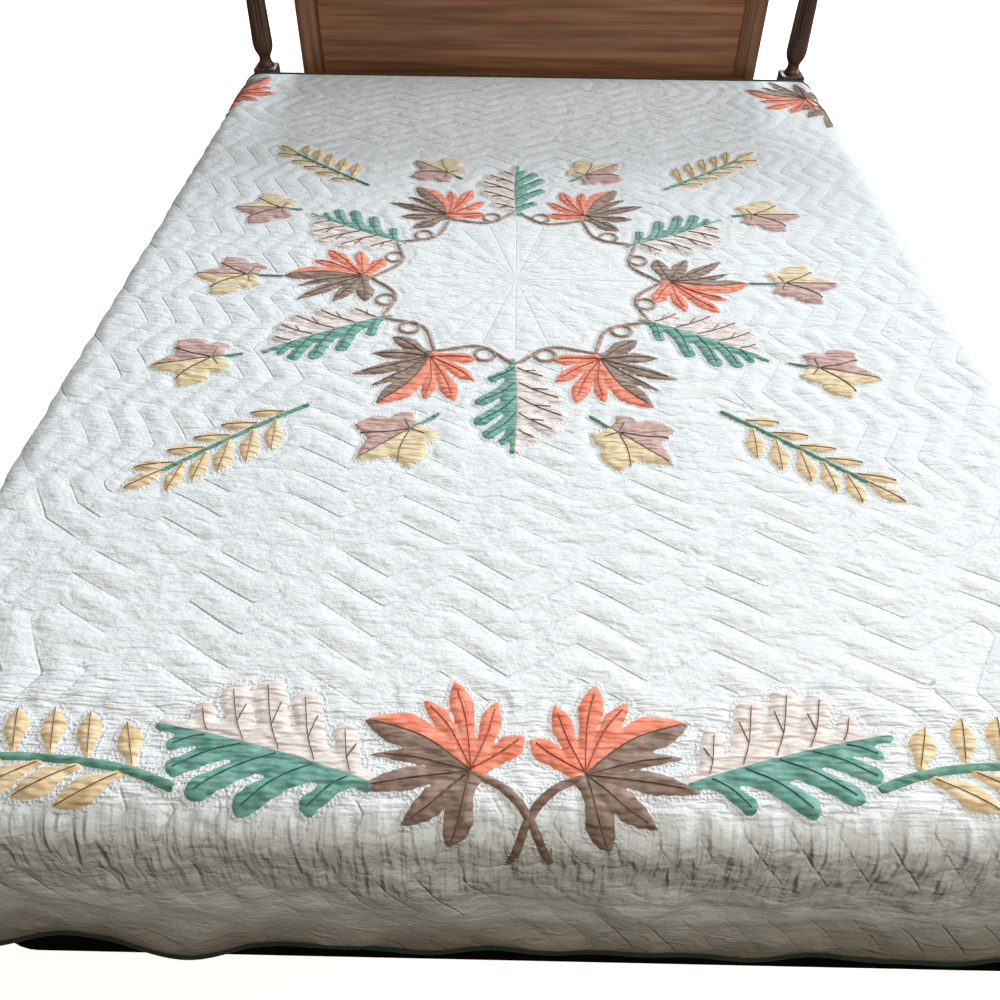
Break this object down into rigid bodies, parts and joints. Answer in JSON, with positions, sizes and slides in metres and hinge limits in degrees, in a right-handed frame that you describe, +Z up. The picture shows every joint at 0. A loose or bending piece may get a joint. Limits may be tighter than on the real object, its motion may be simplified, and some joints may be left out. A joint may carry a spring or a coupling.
{
  "type": "quilt on a bed",
  "caption": "White quilt with appliqued leaves and zigzag quilting, spread over a double bed with mattress, dark base, side rails and a panelled wooden headboard.",
  "frame": {"origin": "on the floor under the middle of the whole part's box", "axes": "+Z up, +Y from the foot of the bed to the headboard, +X to the right seen from the foot"},
  "size_m": [1.5768, 2.0822, 1.084],
  "materials": {
    "quilt_cotton": "washed white cotton, quilted",
    "binding_cotton": "dark green cotton binding",
    "mattress_ticking": "plain woven ticking",
    "base_cloth": "black woven cover",
    "frame_paint": "satin black paint",
    "post_wood": "dark stained, satin varnish",
    "panel_wood": "brown stained, satin varnish"
  },
  "bodies": {
    "root": {"quilt": "quilt_cotton", "binding": "binding_cotton", "mattress": "mattress_ticking", "bed_base": "base_cloth", "side_rail_left": "frame_paint", "side_rail_right": "frame_paint", "cross_rail": "frame_paint", "foot_leg_left": "frame_paint", "foot_leg_right": "frame_paint", "post_left": "post_wood", "post_right": "post_wood", "headboard_low_rail": "panel_wood", "headboard_top_rail": "panel_wood", "headboard_panel": "panel_wood", "stile_left": "panel_wood", "stile_right": "panel_wood"}
  },
  "joints": []
}
